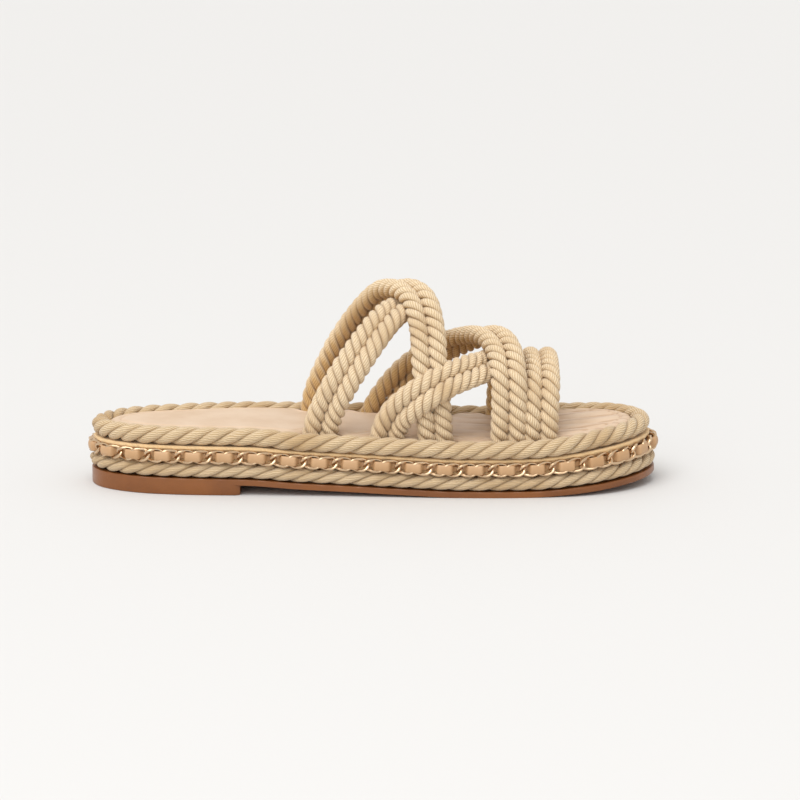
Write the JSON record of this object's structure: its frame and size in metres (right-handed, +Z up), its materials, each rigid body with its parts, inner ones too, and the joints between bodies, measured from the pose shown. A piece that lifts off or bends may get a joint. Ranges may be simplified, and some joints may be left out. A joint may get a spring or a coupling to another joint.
{
  "type": "rope slide sandal",
  "caption": "Left rope slide sandal: five pairs of cotton rope straps, padded leather footbed, rope-edged platform with a chain laced with leather, brown sole and low heel",
  "frame": {"origin": "middle of the sandal's bounding box in plan, on the floor", "axes": "+X from heel to toe, +Y to the outer side of the left foot, +Z up"},
  "size_m": [0.2656, 0.0902, 0.0939],
  "materials": {
    "sole_leather": "satin",
    "wrapped_core": "matte",
    "cotton_rope": "matte",
    "gilt_metal": "polished",
    "nude_leather": "satin"
  },
  "bodies": {
    "root": {"outsole": "sole_leather", "heel_block": "sole_leather", "midsole": "wrapped_core", "lower_rope": "cotton_rope", "chain": "gilt_metal", "leather_lace": "nude_leather", "upper_rope": "cotton_rope", "insole": "nude_leather", "upper": "cotton_rope"}
  },
  "joints": []
}
